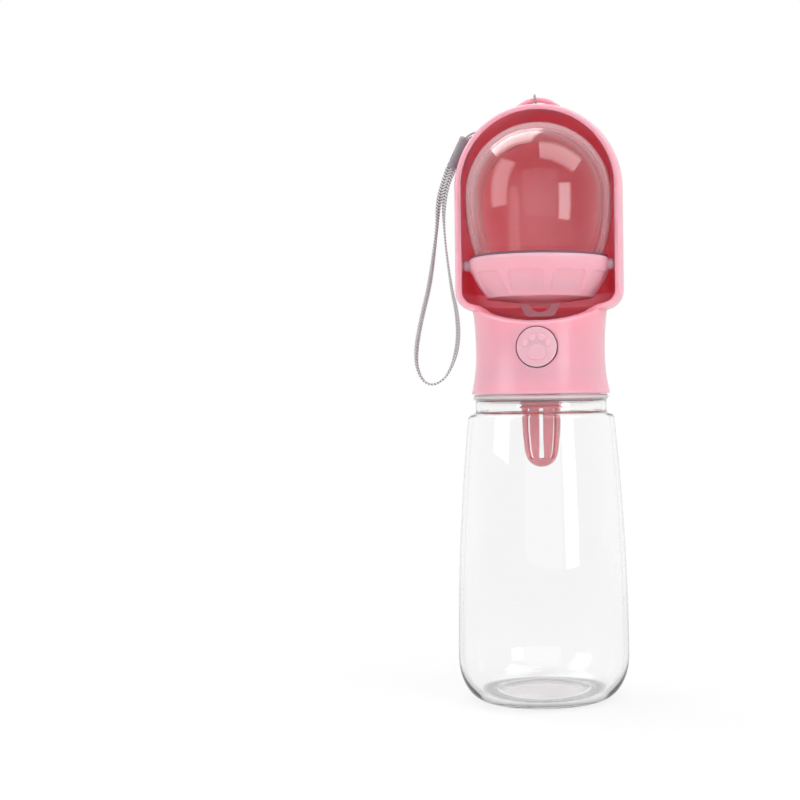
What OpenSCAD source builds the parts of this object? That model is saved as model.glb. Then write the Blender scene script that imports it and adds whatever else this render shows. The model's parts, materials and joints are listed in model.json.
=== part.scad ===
// Travel water bottle for dogs: a clear bottle, a screw-on capsule head and a
// drinking cup that folds forward out of the head. Front is -Y, up is +Z.
// The origin is the middle of the bottle's foot, on the ground.

/* [Bottle] */
// How much wider the bottle is than the head, all round
body_swell = 0.3; // [0:0.1:3]
// Width of the sloping shoulder outside the neck
shoulder_w = 3.3; // [2:0.1:4.5]
// Height of the top of the bottle's side
shoulder_z = 117.6; // [95:1:150]
// How far the rounded foot corner reaches in
foot_in = 12; // [8:0.5:15]
// Height of the rounded foot corner
foot_h = 18; // [12:1:26]
// Wall of the bottle
bottle_wall = 1.8; // [1.2:0.1:2.4]
// Height of the dome pushed up into the foot
punt_h = 4; // [2:0.5:7]
// Width of the ring that the bottle stands on
foot_ring = 4.7; // [3:0.1:8]

/* [Bottle neck] */
// How much wider the short neck is than the head's waist
neck_swell = 0.4; // [0:0.1:1]
// How far the bead below the head stands out of the neck
bead_out = 1.0; // [0.5:0.1:1.5]
// Height of the bead
bead_h = 2.3; // [1.5:0.1:3]
// Height of neck that shows between shoulder and head
neck_show = 10.8; // [9:0.2:16]
// Room for the screw thread between the mouth and the collar
thread_gap = 1.0; // [0.8:0.1:1.4]
// Wall of the threaded mouth
finish_wall = 2.0; // [1.6:0.1:2.6]
// Length of the threaded mouth inside the head
finish_h = 6.8; // [5.5:0.1:8]

/* [Head] */
// Radius of the capsule head
head_r = 35.7; // [34.5:0.1:38]
// Wall of the capsule head
head_wall = 2.0; // [1.6:0.1:2.4]
// Narrowest radius of the waist
waist_r = 27.3; // [25:0.1:29]
// How far the collar's edge flares out below the waist
collar_flare = 2.1; // [1.5:0.1:3]
// Height of the waist above the collar's edge
waist_up = 18.6; // [16:0.2:22]
// Height of the capsule's floor corner centre above the collar's edge
corner_up = 43.4; // [43:0.2:48]
// Radius of the rounded corner under the capsule
corner_r = 8.1; // [7:0.1:9]
// How far the top of the waist flares out
brow_flare = 1.1; // [0.8:0.1:2]
// Rounding of the sill between the capsule's floor and the well
sill_round = 4; // [2:0.5:5]
// Height of the capsule's ball centre above the corner centre
ball_up = 43.2; // [42:0.5:56]
// Distance of the open front plane ahead of the axis
front_y = 11; // [10.6:0.2:13]
// Height of the pouring lip above the collar's edge, at the front
lip_up = 30.2; // [29.4:0.2:32]
// Slope of the lip's dip, in rise over run
lip_slope = 0.43; // [0.35:0.01:0.5]
// Rounding between the front plane and the lip
lip_round = 4; // [2:0.5:6]
// Wall of the waist round the well and the valve
waist_wall = 2.7; // [2:0.1:3]
// Wall of the collar round the thread
skirt_wall = 1.1; // [1:0.1:1.4]
// Height of the well's floor above the collar's edge
floor_up = 27.1; // [26.6:0.1:27.6]
// Thickness of the well's floor
floor_t = 2.0; // [1.6:0.1:2.2]

/* [Strap lug] */
// Outer radius of the lug's arch
lug_r = 13.5; // [12.5:0.1:14]
// Height of the lug's arch centre above the ball centre
lug_up = 26.1; // [25.6:0.1:28]
// Thickness of the arch, in and out
lug_band = 2.0; // [1.6:0.1:2.4]
// Width of the lug, front to back
lug_t = 3.4; // [3:0.1:6]
// Distance of the lug behind the axis
lug_y = 4; // [3:0.5:6]

/* [Button and valve] */
// Radius of the push button
button_r = 8.15; // [7.5:0.05:8.7]
// Gap round the button
button_gap = 0.35; // [0.2:0.01:0.4]
// Height of the button's axis above the collar's edge
button_up = 19.1; // [18.8:0.1:19.8]
// How far the button is pushed in
button_travel = 3.0; // [2:0.1:3.2]
// Wall of the button cap
cap_wall = 1.2; // [1:0.1:1.5]
// Length of the button cap's skirt
cap_len = 4.6; // [4:0.1:5]
// Radius of the valve's stem
stem_r = 3.5; // [3:0.1:3.8]
// Running clearance of the stem in its bore
stem_gap = 0.08; // [0.04:0.01:0.1]
// Radius of the valve's water ports
port_r = 3.0; // [2:0.1:3.2]
// Wire radius of the return spring
wire_r = 0.4; // [0.3:0.05:0.5]
// Coil radius of the return spring
coil_r = 5.6; // [5:0.1:6]
// Radius of the outlet spout
spout_r = 4.5; // [4:0.1:5]
// Height of the outlet spout above the well's floor
spout_h = 5; // [3:0.5:5.5]
// Distance of the outlet behind the axis
spout_y = 12; // [11:0.5:13]

/* [Deck and filter] */
// Thickness of the deck that closes the head
deck_t = 1.6; // [1.2:0.1:2]
// Thickness of the mouth gasket
gasket_t = 1.4; // [1:0.1:2]
// Radius of the filter's threaded top
filter_r = 9.2; // [8.5:0.1:10]
// Length of the filter's threaded top
filter_top_h = 17.5; // [13:0.5:19]
// Length of the filter below its threaded top
filter_h = 21; // [16:0.5:26]
// Radius of the filter where its slots begin
filter_body_r = 8.2; // [7.5:0.05:8.4]
// Wall of the filter
filter_wall = 1.3; // [1:0.1:1.6]
// Width of a slot in the filter
slot_w = 1.8; // [1.2:0.1:2.2]
// Number of slots in the filter
slot_count = 8; // [6:1:10]

/* [Cup] */
// Gap between the clear dome and the inside of the head
dome_gap = 3.1; // [2.5:0.1:4]
// Wall of the clear dome
dome_wall = 2.4; // [1.8:0.1:2.8]
// Drop of the dome's ball centre below the head's
dome_drop = 2.4; // [2:0.1:4]
// How much narrower the dome is where it enters the cup's base
dome_taper = 3.2; // [2.6:0.1:4]
// Width of the cup base's brim outside the dome
brim_w = 2.6; // [2.2:0.1:3]
// Height of the brim above the capsule's corner centre
brim_up = 13.8; // [13.4:0.1:15]
// How much narrower the cup base is at its bottom edge
base_taper = 7; // [6:0.1:8]
// Height of the cup base, brim to bottom edge
base_h = 16.6; // [15.5:0.1:17]
// How far the bottom of the cup base bulges down
base_dish = 2.2; // [1:0.1:2.6]
// Rounding of the cup base's bottom edge
base_round = 1.2; // [0.6:0.1:2]
// Wall of the cup base
base_wall = 2.2; // [1.8:0.1:2.6]
// Distance of the cup's open mouth behind the axis
mouth_y = 13; // [11:0.5:15]
// Angle between neighbouring panels round the base
panel_pitch = 38.6; // [36:0.2:40]
// Angle of one panel to the right of the front
panel_phase = -9; // [-12:1:12]
// Height of the recessed panels
panel_h = 10.2; // [8:0.2:12]
// Depth of the recessed panels
panel_depth = 0.5; // [0.3:0.05:0.8]
// Width of the tongue under the cup
tongue_w = 19.4; // [16:0.2:22]
// How far the tongue hangs below the base's bottom edge
tongue_drop = 8; // [7:0.2:8.4]

/* [Hinge] */
// Distance of the hinge ahead of the axis
hinge_y = 5.5; // [5:0.1:6]
// Height of the hinge below the cup's brim
hinge_drop = 3.1; // [2.8:0.1:3.6]
// Radius of the hinge pins
pin_r = 1.25; // [1:0.05:1.5]
// Running clearance of the pins
pin_gap = 0.05; // [0.03:0.01:0.1]
// Wall of the bosses round the pins
boss_wall = 1.1; // [0.9:0.1:1.6]

/* [Strap] */
// Radius of the thin cord through the lug
cord_r = 0.45; // [0.4:0.05:0.6]
// Radius of the braided wrist loop
loop_r = 1.1; // [0.8:0.05:1.3]
// Length of the ferrule
ferrule_len = 14.5; // [10:0.5:16]
// Radius of the ferrule
ferrule_r = 2.2; // [2.1:0.05:2.4]

/* [Hidden] */
$fn = 64;
eps = 0.01;

fit = 0.1;              // gap of a part slipped into its seat
soft_fit = 0.3;         // gap beside a soft part

// Heights of the head, from the bottle up
neck_z = shoulder_z + 3.2;
collar_z = shoulder_z + neck_show;
finish_z = collar_z + finish_h;
deck_z = finish_z + gasket_t;
step_z = deck_z + deck_t;
button_z = collar_z + button_up;
floor_z = collar_z + floor_up;
waist_z = collar_z + waist_up;
corner_z = collar_z + corner_up;
ball_z = corner_z + ball_up;
lip_z = collar_z + lip_up;

// Radii of the head
collar_r = waist_r + collar_flare;
brow_r = waist_r + brow_flare;
corner_x = head_r - corner_r;
head_in = head_r - head_wall;
skirt_in = waist_r - skirt_wall;
well_r = waist_r - waist_wall;
brow_z = corner_z - sqrt(pow(corner_r, 2) - pow(brow_r - corner_x, 2));

// Radii of the bottle
body_r = head_r + body_swell;
foot_r = body_r - foot_in;
punt_r = foot_r - foot_ring;
neck_r = waist_r + neck_swell;
shoulder_r = neck_r + shoulder_w;
bead_r = neck_r + bead_out;
finish_r = skirt_in - thread_gap;

// Cup and hinge
dome_r = head_in - dome_gap;
dome_foot_r = dome_r - dome_taper;
brim_r = dome_foot_r + brim_w;
cup_foot_r = brim_r - base_taper;
brim_z = corner_z + brim_up;
cup_z = brim_z - base_h;
dome_z = ball_z - dome_drop;
hinge_z = brim_z - hinge_drop;
seat_z = brim_z - 3;
pin_in = dome_foot_r + fit + 0.1;
pin_out = sqrt(pow(head_r, 2) - pow(hinge_y, 2)) - 0.9;
boss_face = pin_out - 2.8;

// Valve, along the button's axis
cap_y = -waist_r - 0.4;
well_end = -19;
well_wall = 1.5;
body_front = well_end + well_wall;
column_r = port_r + 1.9;
body_rear = spout_y + column_r + 0.7;
seat_front = 7;
seat_rear = 8.5;
chamber_r = 4.6;
valve_r = 5.6;
seal_t = 1.2;
button_well_r = button_r + button_gap;

// Filter
filter_top_z = deck_z - 0.6;
filter_neck_z = filter_top_z - filter_top_h;
filter_tip_z = filter_neck_z - filter_h;
socket_r = filter_r + fit;
thread_depth = 0.9;
thread_pitch = 2.3;
thread_count = floor((filter_top_h - 1.6) / thread_pitch);

// ---- Profiles ----

function arc(cx, cz, r, from, to, steps) =
    [for (i = [0:steps]) let (a = from + (to - from) * i / steps)
        [cx + r * cos(a), cz + r * sin(a)]];

// Side of the bottle: a quarter ellipse at the foot, then a slow inward curve
function side_r(z) = z < foot_h
    ? foot_r + (body_r - foot_r) * sqrt(1 - pow((foot_h - z) / foot_h, 2))
    : body_r - (body_r - shoulder_r) * pow((z - foot_h) / (shoulder_z - foot_h), 2);

// Heights at which the side is drawn, close together at the foot
function side_steps() = concat(
    [for (a = [0:9:81]) foot_h * (1 - cos(a))],
    [for (i = [0:9]) foot_h + (shoulder_z - foot_h) * i / 9]);

bottle_outside = concat(
    [[punt_r, 0], [foot_r - 1.2, 0]],
    [for (z = side_steps()) [side_r(z), z]],
    arc(shoulder_r - 2.4, shoulder_z, 2.4, 15, 75, 4),
    [[neck_r + 1, neck_z - 0.4], [neck_r, neck_z + 0.6],
     [neck_r, collar_z - bead_h - 0.3]],
    arc(bead_r - bead_h / 2, collar_z - 0.2 - bead_h / 2, bead_h / 2, -60, 80, 7),
    [[finish_r, collar_z - 0.2], [finish_r, finish_z]]);

bottle_inside = concat(
    [[finish_r - finish_wall, finish_z], [finish_r - finish_wall, collar_z - 0.8],
     [neck_r - bottle_wall, collar_z - 2.6], [neck_r - bottle_wall, neck_z]],
    arc(shoulder_r - 2.4 - bottle_wall, shoulder_z, 2.4, 75, 15, 3),
    [for (i = [9:-1:1]) let (z = foot_h + (shoulder_z - foot_h) * i / 9)
        [side_r(z) - bottle_wall, z]],
    [for (a = [90:-10:20]) let (z = foot_h * (1 - cos(a)) + 2.6 * cos(a))
        [foot_r - bottle_wall + (body_r - foot_r) * sin(a), z]],
    [[punt_r + 1, 3.0], [punt_r * 0.6, punt_h + 0.9], [0, punt_h + 2.2],
     [0, punt_h], [punt_r * 0.6, punt_h * 0.72], [punt_r - 0.6, 0.7]]);

// Outside of the head: collar, waist, rounded corner and ball
function waist_curve(z) = z < waist_z
    ? waist_r + (collar_r - waist_r) * pow((waist_z - z) / waist_up, 2.4)
    : waist_r + (brow_r - waist_r) * pow((z - waist_z) / (brow_z - waist_z), 2);

head_outside = concat(
    [for (i = [0:8]) let (z = collar_z + waist_up * i / 8) [waist_curve(z), z]],
    [for (i = [1:5]) let (z = waist_z + (brow_z - waist_z) * i / 5) [waist_curve(z), z]]);

brow_a = -acos((brow_r - corner_x) / corner_r);

module head_solid() {
    rotate_extrude() polygon(concat([[0, collar_z]], head_outside, [[0, brow_z]]));
    rotate_extrude() polygon(concat(
        [[0, brow_z - eps]],
        [[brow_r - 0.02, brow_z - eps]],
        arc(corner_x, corner_z, corner_r, brow_a, 0, 10),
        [[head_r, ball_z], [0, ball_z]]));
    intersection() {
        translate([0, 0, ball_z]) sphere(head_r);
        translate([0, 0, ball_z - eps]) cylinder(h = head_r + 1, r = head_r + 1);
    }
}

// ---- Bottle and head ----

module bottle() {
    color([0.86, 0.93, 0.94, 0.35])
        rotate_extrude() polygon(concat(bottle_outside, bottle_inside));
}

module ring(r_in, r_out, z, h) {
    translate([0, 0, z]) difference() {
        cylinder(h = h, r = r_out);
        translate([0, 0, -1]) cylinder(h = h + 2, r = r_in);
    }
}

module neck_gasket() {
    color([0.93, 0.93, 0.92])
        ring(finish_r - finish_wall - 0.4, finish_r - 0.1, finish_z, gasket_t);
}

// Deck: closes the head from below and holds the filter's socket
module valve_deck() {
    color([0.93, 0.55, 0.62]) difference() {
        union() {
            translate([0, 0, deck_z]) cylinder(h = deck_t, r = skirt_in - 0.15);
            translate([0, 0, deck_z]) cylinder(h = deck_t + 2.4, r = 12);
            translate([0, 0, collar_z - 1]) cylinder(h = deck_z - collar_z + 1 + eps, r = socket_r + 2);
        }
        translate([0, 0, collar_z - 2]) cylinder(h = deck_z - collar_z + 2, r = socket_r);
        translate([0, 0, deck_z - 1]) cylinder(h = deck_t + 6, r = port_r);
    }
}

// Cylinder along Y between two places on the button's axis
module along_y(y1, y2, r, z = button_z) {
    translate([0, y1, z]) rotate([-90, 0, 0]) cylinder(h = y2 - y1, r = r);
}

// Hollow of the capsule: a can with a rounded corner and a ball on top
module head_hollow() {
    rotate_extrude() polygon(concat(
        [[0, corner_z - corner_r + head_wall]],
        arc(corner_x, corner_z, corner_r - head_wall, -90, 0, 8),
        [[head_in, ball_z], [0, ball_z]]));
    intersection() {
        translate([0, 0, ball_z]) sphere(head_in);
        translate([0, 0, ball_z - eps]) cylinder(h = head_r + 1, r = head_r + 1);
    }
}

sill_z = corner_z - corner_r + head_wall;

// Front opening: upright plane above, sloping lip below
lip_ease = 2 * lip_round * (1 - sin(atan(lip_slope)));
plane_z = lip_z + lip_slope * (well_r - front_y);

module front_cut() {
    far = head_r + 30;
    translate([-far, 0, 0]) rotate([90, 0, 90]) linear_extrude(2 * far)
        polygon([
            [-front_y, ball_z + far],
            [-far, ball_z + far],
            [-far, lip_z - lip_slope * (far - well_r)],
            [-front_y - lip_ease, plane_z - lip_slope * lip_ease],
            [-front_y - lip_ease * 0.3, plane_z + lip_round * 0.05],
            [-front_y, plane_z + lip_round * 0.7]]);
}

module lug() {
    translate([0, lug_y + lug_t / 2, ball_z + lug_up]) rotate([90, 0, 0])
        difference() {
            cylinder(h = lug_t, r = lug_r);
            translate([0, 0, -1]) cylinder(h = lug_t + 2, r = lug_r - lug_band);
        }
}

module pin_socket(side) {
    translate([side * boss_face, -hinge_y, hinge_z]) rotate([0, side * 90, 0])
        cylinder(h = pin_out - boss_face - 0.6, r = pin_r + boss_wall);
}

module head_shell() {
    color([0.97, 0.66, 0.72]) difference() {
        union() {
            difference() {
                union() {
                    head_solid();
                    lug();
                }
                head_hollow();
                // Well in the top of the neck, with a rounded sill
                rotate_extrude() polygon(concat(
                    [[0, floor_z], [well_r, floor_z]],
                    arc(well_r + sill_round, sill_z - sill_round, sill_round, 180, 90, 8),
                    [[well_r + sill_round, sill_z + 1], [0, sill_z + 1]]));
                translate([0, 0, step_z]) cylinder(h = floor_z - floor_t - step_z, r = well_r);
                translate([0, 0, collar_z - 1]) cylinder(h = step_z - collar_z + 1, r = skirt_in);
                front_cut();
            }
            // Housing round the button
            intersection() {
                along_y(-waist_r - 1, well_end + well_wall, button_well_r + 0.8);
                translate([0, 0, step_z]) cylinder(h = floor_z, r = waist_r - 0.3);
            }
            for (side = [-1, 1]) pin_socket(side);
        }
        along_y(-head_r, well_end, button_well_r);
        along_y(well_end - 1, well_end + well_wall + 1, stem_r + stem_gap + 0.2);
        translate([0, spout_y, floor_z - floor_t - 1]) cylinder(h = floor_t + 2, r = spout_r - 0.7 + fit);
        for (side = [-1, 1])
            translate([side * (boss_face - 1), -hinge_y, hinge_z]) rotate([0, side * 90, 0])
                cylinder(h = pin_out - boss_face + 1.1, r = pin_r + pin_gap);
    }
}

// ---- Valve and button ----

module valve_body() {
    deck_top = step_z + 2.4;
    color([0.94, 0.94, 0.93]) difference() {
        union() {
            along_y(body_front, body_rear, valve_r);
            translate([0, 0, deck_top]) cylinder(h = button_z - deck_top, r = column_r);
            translate([0, spout_y, button_z])
                cylinder(h = floor_z - floor_t - button_z, r = column_r);
        }
        along_y(body_front - 1, seat_front, stem_r + stem_gap);
        along_y(seat_front - 1, seat_rear + 1, port_r - 0.4);
        along_y(seat_rear, body_rear + 1, chamber_r);
        translate([0, 0, deck_top - 1]) cylinder(h = button_z - deck_top + 1, r = port_r);
        translate([0, spout_y, button_z]) cylinder(h = floor_z, r = port_r);
    }
}

module valve_plug() {
    color([0.94, 0.94, 0.93]) {
        along_y(body_rear, body_rear + 1.6, valve_r);
        along_y(body_rear - 2, body_rear + eps, chamber_r - 0.05);
    }
}

// Stem: shank in the bore, thin waist past the inlet, and the poppet behind
module valve_stem() {
    color([0.9, 0.9, 0.9]) difference() {
        union() {
            along_y(cap_y + 1.6, -4, stem_r);
            along_y(-4 - eps, seat_rear + seal_t, 1.5);
            along_y(seat_rear + seal_t, seat_rear + seal_t + 1.6, chamber_r - 0.5);
        }
        rotate_groove(-11, stem_r - 0.75, 1.5);
    }
}

module rotate_groove(y, r, w) {
    difference() {
        along_y(y - w / 2, y + w / 2, stem_r + 1);
        along_y(y - w / 2 - 1, y + w / 2 + 1, r);
    }
}

module stem_o_ring() {
    color([0.15, 0.15, 0.16]) translate([0, -11, button_z]) rotate([-90, 0, 0])
        rotate_extrude() translate([stem_r - 0.34, 0]) circle(r = 0.39, $fn = 24);
}

module poppet_seal() {
    color([0.92, 0.92, 0.9]) difference() {
        along_y(seat_rear, seat_rear + seal_t, chamber_r - 0.6);
        along_y(seat_rear - 1, seat_rear + seal_t + 1, 1.55);
    }
}

// Pads and heel of a paw, standing a little proud of the cap
module paw() {
    translate([0, -1.9]) {
        circle(r = 2.5);
        translate([-1.7, -1]) circle(r = 1.4);
        translate([1.7, -1]) circle(r = 1.4);
    }
    for (a = [-54, -18, 18, 54])
        translate([5.1 * sin(a), 5.1 * cos(a) - 1.6]) circle(r = 1.25);
}

module button_cap() {
    color([0.98, 0.70, 0.75]) difference() {
        union() {
            intersection() {
                along_y(-waist_r - 2, cap_y + cap_len, button_r);
                translate([0, 0, button_z - 20]) cylinder(h = 40, r = -cap_y);
            }
            intersection() {
                translate([0, -waist_r - 2, button_z]) rotate([90, 0, 180]) mirror([0, 0, 1])
                    translate([0, 0, -3]) linear_extrude(3) paw();
                translate([0, 0, button_z - 20]) cylinder(h = 40, r = -cap_y + 0.35);
            }
        }
        // Hollow behind the face, round the stem's boss
        difference() {
            along_y(cap_y + 2.8, cap_y + cap_len + 1, button_r - cap_wall);
            along_y(cap_y + 2, cap_y + cap_len + 2, stem_r + 1);
        }
        along_y(cap_y + 1.6, cap_y + cap_len + 1, stem_r);
    }
}

// Return spring between the cap and the end of its housing
spring_y1 = cap_y + 2.8;
spring_y2 = well_end;
spring_turns = 3.5;
spring_sides = 8;
spring_steps = 16;

function coil_point(t) = let (a = 360 * spring_turns * t)
    [coil_r * cos(a), spring_y1 + wire_r + (spring_y2 - spring_y1 - 2 * wire_r) * t,
     button_z + coil_r * sin(a)];

module button_spring() {
    color([0.75, 0.76, 0.78])
        tube([for (i = [0:spring_turns * spring_steps]) coil_point(i / (spring_turns * spring_steps))],
            wire_r, spring_sides);
}

module outlet_spout() {
    color([0.95, 0.62, 0.68]) difference() {
        union() {
            translate([0, spout_y, floor_z]) cylinder(h = spout_h, r1 = spout_r, r2 = spout_r - 1);
            translate([0, spout_y, floor_z - floor_t]) cylinder(h = floor_t + eps, r = spout_r - 0.7);
        }
        translate([0, spout_y, floor_z - floor_t - 1]) cylinder(h = spout_h + floor_t + 2, r = port_r - 0.5);
    }
}

// ---- Filter ----

function filter_curve(t) = filter_body_r * sqrt(1 - pow(t, 2.6));

module filter_basket() {
    steps = 12;
    thread_tooth = [[0, 0], [thread_depth, -0.5], [thread_depth, -1.1], [0, -1.6]];
    outside = [for (i = [0:steps]) let (t = sin(90 * i / steps))
        [filter_curve(t), filter_neck_z - filter_h * t]];
    inside = [for (i = [steps:-1:0]) let (t = sin(90 * i / steps))
        [max(0, (filter_body_r - filter_wall) * sqrt(1 - pow(t, 2.6))),
         filter_neck_z - (filter_h - filter_wall) * t]];
    color([0.95, 0.55, 0.62]) difference() {
        union() {
            rotate_extrude() polygon(concat(
                [[filter_r - 2.2, filter_top_z], [filter_r - thread_depth, filter_top_z]],
                [for (i = [0:thread_count - 1]) for (p = thread_tooth)
                    [filter_r - thread_depth + p[0], filter_top_z - 1 - thread_pitch * i + p[1]]],
                [[filter_r - thread_depth, filter_neck_z], [filter_r - 2.2, filter_neck_z]]));
            rotate_extrude() polygon(concat(outside, inside));
        }
        // Slots, one facing the front, that run up across the first rings
        for (i = [0:slot_count - 1]) rotate([0, 0, 274 + 360 * i / slot_count])
            translate([2.4, -slot_w / 2, filter_tip_z + 3.5])
                cube([filter_r, slot_w, filter_h + 0.2]);
    }
}

module filter_washer() {
    color([0.92, 0.92, 0.9]) ring(filter_r - 3, filter_r - 0.4, filter_top_z, deck_z - filter_top_z);
}

// ---- Cup ----

function dome_curve(z) = dome_r - (dome_r - dome_foot_r) * pow((dome_z - z) / (dome_z - brim_z - 2), 2.3);

module mouth_cut() {
    translate([-60, mouth_y, cup_z - 40]) cube([120, 60, 160]);
}

module cup_dome() {
    low = brim_z + 2;
    outside = [for (i = [0:8]) let (z = low + (dome_z - low) * i / 8) [dome_curve(z), z]];
    inside = [for (i = [8:-1:0]) let (z = low + (dome_z - low) * i / 8)
        [dome_curve(z) - dome_wall, z]];
    color([0.93, 0.95, 0.96, 0.4]) difference() {
        union() {
            rotate_extrude() polygon(concat(
                [[dome_foot_r, seat_z]], outside, inside, [[dome_foot_r - dome_wall, seat_z]]));
            difference() {
                translate([0, 0, dome_z]) sphere(dome_r);
                translate([0, 0, dome_z]) sphere(dome_r - dome_wall);
                translate([0, 0, dome_z - 100]) cylinder(h = 100, r = 60);
            }
        }
        mouth_cut();
    }
}

// Base of the cup: brim, swelling side, dished bottom
function base_curve(t) = cup_foot_r + base_taper * sin(90 * t);

function base_side(inset) = [for (i = [0:10]) let (t = i / 10)
    [base_curve(t) - inset, cup_z + (base_h - 1.2) * t]];

function dish_z(r) = cup_z - base_dish * (1 - pow(r / cup_foot_r, 2));

module panel_cutter() {
    // Rounded tile that points outwards, cut from a thin outer skin
    rotate([90, 0, 0]) translate([0, cup_z, 0]) linear_extrude(60)
        offset(r = 2, $fn = 24) offset(delta = -2)
            polygon([[-6.6, -6], [-7.5, panel_h], [7.5, panel_h], [6.6, -6]]);
}

module base_skin() {
    difference() {
        rotate_extrude() polygon(concat(base_side(-2), [[0, brim_z], [0, cup_z]]));
        rotate_extrude() polygon(concat(base_side(panel_depth), [[0, brim_z], [0, cup_z]]));
    }
}

module cup_base() {
    color([0.98, 0.72, 0.76]) difference() {
        union() {
            difference() {
                rotate_extrude() polygon(concat(
                    [for (i = [0:6]) let (r = (cup_foot_r - base_round) * i / 6) [r, dish_z(r)]],
                    [for (a = [-60, -40, -20]) [cup_foot_r - base_round * (1 - cos(a)),
                        cup_z + base_round * sin(a) * 0.5]],
                    base_side(0),
                    [[brim_r - 0.4, brim_z - 0.4], [brim_r - 0.9, brim_z], [0, brim_z]]));
                // Inside of the cup, with a seat for the dome
                translate([0, 0, seat_z]) cylinder(h = 10, r = dome_foot_r + fit);
                rotate_extrude() polygon(concat(
                    [[0, cup_z - base_dish + base_wall], [cup_foot_r - base_wall - 1, cup_z + base_wall]],
                    [for (i = [2:10]) let (t = i / 10)
                        [min(base_curve(t) - base_wall, dome_foot_r - dome_wall),
                         cup_z + (base_h - 1.2) * t]],
                    [[dome_foot_r - dome_wall, brim_z], [0, brim_z]]));
                for (i = [-2:3]) rotate([0, 0, panel_phase + panel_pitch * i])
                    intersection() {
                        base_skin();
                        panel_cutter();
                    }
            }
            for (side = [-1, 1])
                translate([side * (pin_in - 0.4), -hinge_y, hinge_z]) rotate([0, side * 90, 0])
                    cylinder(h = boss_face - 0.3 - pin_in + 0.4, r = pin_r + boss_wall - 0.1);
            tongue();
        }
        mouth_cut();
        // Bores for the hinge pins
        for (side = [-1, 1])
            translate([side * pin_in, -hinge_y, hinge_z]) rotate([0, side * 90, 0])
                cylinder(h = 10, r = pin_r + 0.02);
        // Inlet behind the tongue
        translate([0, 5.5, cup_z - base_dish - 2]) cylinder(h = base_wall + 4, r = 2.6);
    }
}

// Tongue with a half-moon window, hanging under the cup
module tongue() {
    window_z = cup_z - 3;
    window_r = 5;
    top = cup_z - 0.6;
    low = cup_z - tongue_drop;
    translate([0, 1.2, 0]) rotate([90, 0, 0]) linear_extrude(2.4) difference() {
        offset(r = 2.5, $fn = 32) offset(delta = -2.5)
            polygon([[-tongue_w / 2, top + 6], [-tongue_w / 2, top], [-tongue_w * 0.31, low],
                     [tongue_w * 0.31, low], [tongue_w / 2, top], [tongue_w / 2, top + 6]]);
        translate([-30, top + 0.6]) square([60, 10]);
        // Half-moon window, flat side up
        intersection() {
            translate([0, window_z - 2.9 + window_r]) circle(r = window_r);
            translate([-10, window_z - 4]) square([20, 4]);
        }
    }
}

module cup_seal() {
    color([0.55, 0.42, 0.48]) difference() {
        ring(dome_foot_r + fit, dome_foot_r + 1.5, brim_z, 0.9);
        mouth_cut();
    }
}

module hinge_pins() {
    color([0.8, 0.8, 0.82]) for (side = [-1, 1])
        translate([side * pin_in, -hinge_y, hinge_z]) rotate([0, side * 90, 0])
            cylinder(h = pin_out - pin_in, r = pin_r);
}

// ---- Strap ----

// Smooth curve through hand-set points
function catmull(a, b, c, d, t) = 0.5 * ((2 * b) + (c - a) * t
    + (2 * a - 5 * b + 4 * c - d) * t * t + (3 * b - a - 3 * c + d) * t * t * t);

function smooth_path(p, n) = let (last = len(p) - 1) concat(
    [for (i = [0:last - 1]) for (k = [0:n - 1])
        catmull(p[max(i - 1, 0)], p[i], p[i + 1], p[min(i + 2, last)], k / n)],
    [p[last]]);

function unit(v) = v / norm(v);

function heading(p, i) = let (last = len(p) - 1)
    unit(p[min(i + 1, last)] - p[max(i - 1, 0)]);

// Side vector carried along the path so that the tube doesn't twist
function carry(p, i, u) = let (t = heading(p, i), v = u - (u * t) * t) unit(v);

function frames(p, i, u) = i >= len(p) ? [] :
    let (v = carry(p, i, u)) concat([v], frames(p, i + 1, v));

function start_side(p) = let (t = heading(p, 0),
    a = abs(t[1]) < 0.9 ? [0, 1, 0] : [1, 0, 0]) unit(cross(t, a));

module tube(p, r, sides) {
    n = len(p);
    f = frames(p, 0, start_side(p));
    rings = [for (i = [0:n - 1]) for (k = [0:sides - 1])
        let (a = 360 * k / sides, w = cross(heading(p, i), f[i]))
            p[i] + r * (cos(a) * f[i] + sin(a) * w)];
    sides_faces = [for (i = [0:n - 2]) for (k = [0:sides - 1])
        let (m = (k + 1) % sides, a = i * sides, b = (i + 1) * sides)
            for (f = [[a + k, b + k, b + m], [a + k, b + m, a + m]]) f];
    first = [for (k = [0:sides - 1]) k];
    last = [for (k = [sides - 1:-1:0]) (n - 1) * sides + k];
    polyhedron(points = rings, faces = concat(sides_faces, [first], [last]), convexity = 6);
}

// Ferrule: its top end and its lean
ferrule_top = [-31, 2, 238];
ferrule_axis = unit([-6.5, 0, -13.5]);
ferrule_low = ferrule_top + ferrule_axis * ferrule_len;
ferrule_side = unit([-13.5, 0, 6.5]);

cord_points = [
    ferrule_top + [0, 0.7, 0], [-28.5, 4.4, 240], [-24.5, 6.5, 241.6], [-20, 7.9, 244.5],
    [-14, 8.8, 247.6], [-8, 8.6, 249.6], [-4.4, 8.2, 251], [-2.7, 7.4, 252.9], [-1.8, 6.5, 254.6],
    [-1.5, 5, 255.6], [-1.3, 3.5, 255.6], [-1.2, 2.25, 255.25], [-1.1, 1.55, 254.55],
    [-1, 1.3, 253.6], [-0.9, 1.55, 252.65], [-0.8, 2.25, 251.95], [-0.7, 3.5, 251.6],
    [-0.8, 5.3, 251.5], [-2, 7.6, 250.9], [-5, 9.9, 249.8], [-11, 10.5, 248.3], [-17, 10, 245.9],
    [-22.5, 8.6, 242.5], [-27, 6, 239.7], ferrule_top + [0.3, 1.7, -0.5]];

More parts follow.
